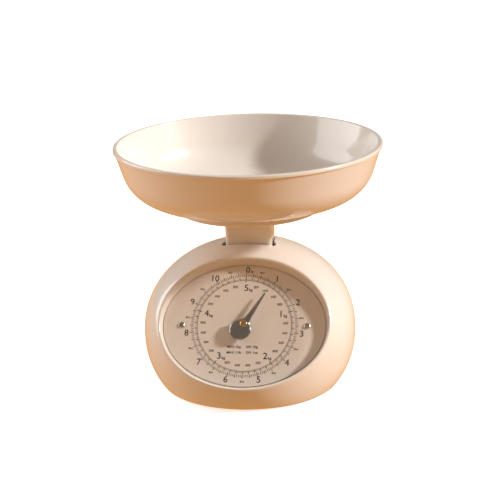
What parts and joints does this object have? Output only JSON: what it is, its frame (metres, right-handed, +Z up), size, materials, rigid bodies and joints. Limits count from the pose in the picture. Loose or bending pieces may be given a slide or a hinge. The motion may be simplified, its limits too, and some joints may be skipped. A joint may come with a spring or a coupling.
{
  "type": "kitchen scale",
  "caption": "Mechanical kitchen scale: pebble-shaped housing with a tilted round dial and chrome pointer, square column and wide lift-off bowl on a spring-loaded lever mechanism.",
  "frame": {"origin": "on the floor plane, under the middle of the column and bowl", "axes": "+Z up, the dial faces -Y, +X to the reader's right"},
  "size_m": [0.2408, 0.2408, 0.2149],
  "materials": {
    "cream_plastic": "glossy moulded ABS, warm cream",
    "base_plastic": "fine matt moulded plastic, warm cream",
    "rubber": "matt soft rubber",
    "steel": "bright zinc-plated pressed sheet",
    "zinc_screw": "zinc-plated turned steel",
    "spring_steel": "bright spring wire",
    "dial_print": "satin printed dial, dark brown scales",
    "clear_lens": "clear polished acrylic",
    "brass": "polished turned brass",
    "chrome": "polished chrome, softly domed",
    "nylon": "natural acetal"
  },
  "bodies": {
    "root": {"front_housing": "cream_plastic", "rear_cover": "cream_plastic", "base_plate": "base_plastic", "rubber_feet": "rubber", "base_screws": "zinc_screw", "rear_cover_screws": "zinc_screw", "chassis_frame": "steel", "chassis_screws": "zinc_screw", "upper_rear_pin": "zinc_screw", "lower_rear_pin": "zinc_screw", "rear_pin_clips": "zinc_screw", "overload_bumper": "rubber", "extension_spring_left": "spring_steel", "extension_spring_right": "spring_steel", "dial_plate": "dial_print", "dial_screws": "zinc_screw", "dial_nuts": "zinc_screw", "dial_lens": "clear_lens", "movement_front_plate": "steel", "movement_rear_plate": "steel", "movement_posts": "steel", "front_bushing": "brass", "rear_bushing": "brass", "rack_guide": "steel", "wheel_washer": "nylon"},
    "carriage": {"column": "cream_plastic", "platform": "cream_plastic", "platform_screws": "zinc_screw", "carriage_bracket": "steel", "bracket_screws": "zinc_screw", "rack_arm": "steel", "rack_arm_screw": "zinc_screw", "rack_pin": "zinc_screw", "upper_front_pin": "zinc_screw", "lower_front_pin": "zinc_screw", "front_pin_clips": "zinc_screw"},
    "bowl": {"bowl": "cream_plastic"},
    "upper_lever": {"upper_lever": "steel"},
    "lower_lever": {"lower_lever": "steel", "lower_spring_plugs": "brass"},
    "rack": {"rack": "nylon"},
    "pointer": {"pinion_arbor": "brass", "pointer": "chrome", "pointer_hub": "brass", "pointer_cap": "brass"},
    "spring_hanger": {"spring_hanger": "steel", "upper_spring_plugs": "brass"},
    "zero_wheel": {"zero_wheel": "base_plastic", "zero_screw": "zinc_screw"}
  },
  "joints": [
    {"name": "platform_slide", "type": "slide", "parent": "root", "child": "carriage", "axis": [0, 0, 1], "range_m": [-0.01148, 0.0011], "stiffness_N_per_m": 3900, "springref_m": 0.00103},
    {"name": "bowl_lift", "type": "slide", "parent": "carriage", "child": "bowl", "axis": [0, 0, 1], "range_m": [0, 0.12]},
    {"name": "upper_lever_pivot", "type": "hinge", "parent": "root", "child": "upper_lever", "pos_m": [0, 0.044, 0.06081], "axis": [-1, 0, 0], "range_deg": [-13.3, 1.4]},
    {"name": "lower_lever_pivot", "type": "hinge", "parent": "root", "child": "lower_lever", "pos_m": [0, 0.044, 0.02481], "axis": [-1, 0, 0], "range_deg": [-13.3, 1.4], "deforming": ["extension_spring_left", "extension_spring_right"]},
    {"name": "rack_slide", "type": "slide", "parent": "root", "child": "rack", "axis": [0, 0.599, 0.8007], "range_m": [-0.0145, 0.0015]},
    {"name": "pointer_spin", "type": "hinge", "parent": "root", "child": "pointer", "pos_m": [0, -0.069, 0.0661], "axis": [0, -0.8007, 0.599], "range_deg": [-329, 32]},
    {"name": "zero_wheel_turn", "type": "hinge", "parent": "root", "child": "zero_wheel", "pos_m": [0, 0.04, 0.1], "axis": [0, 0, 1], "range_deg": [-360, 360]},
    {"name": "spring_hanger_slide", "type": "slide", "parent": "root", "child": "spring_hanger", "axis": [0, 0, 1], "range_m": [-0.00085, 0.00085]}
  ],
  "couplings": [
    {"joint": "upper_lever_pivot", "follows": "platform_slide", "rad_per_m": 20.05},
    {"joint": "lower_lever_pivot", "follows": "platform_slide", "rad_per_m": 20.05},
    {"joint": "rack_slide", "follows": "platform_slide", "ratio": 1.2489},
    {"joint": "pointer_spin", "follows": "platform_slide", "rad_per_m": 499.54},
    {"joint": "spring_hanger_slide", "follows": "zero_wheel_turn", "m_per_rad": -0.00012732}
  ]
}
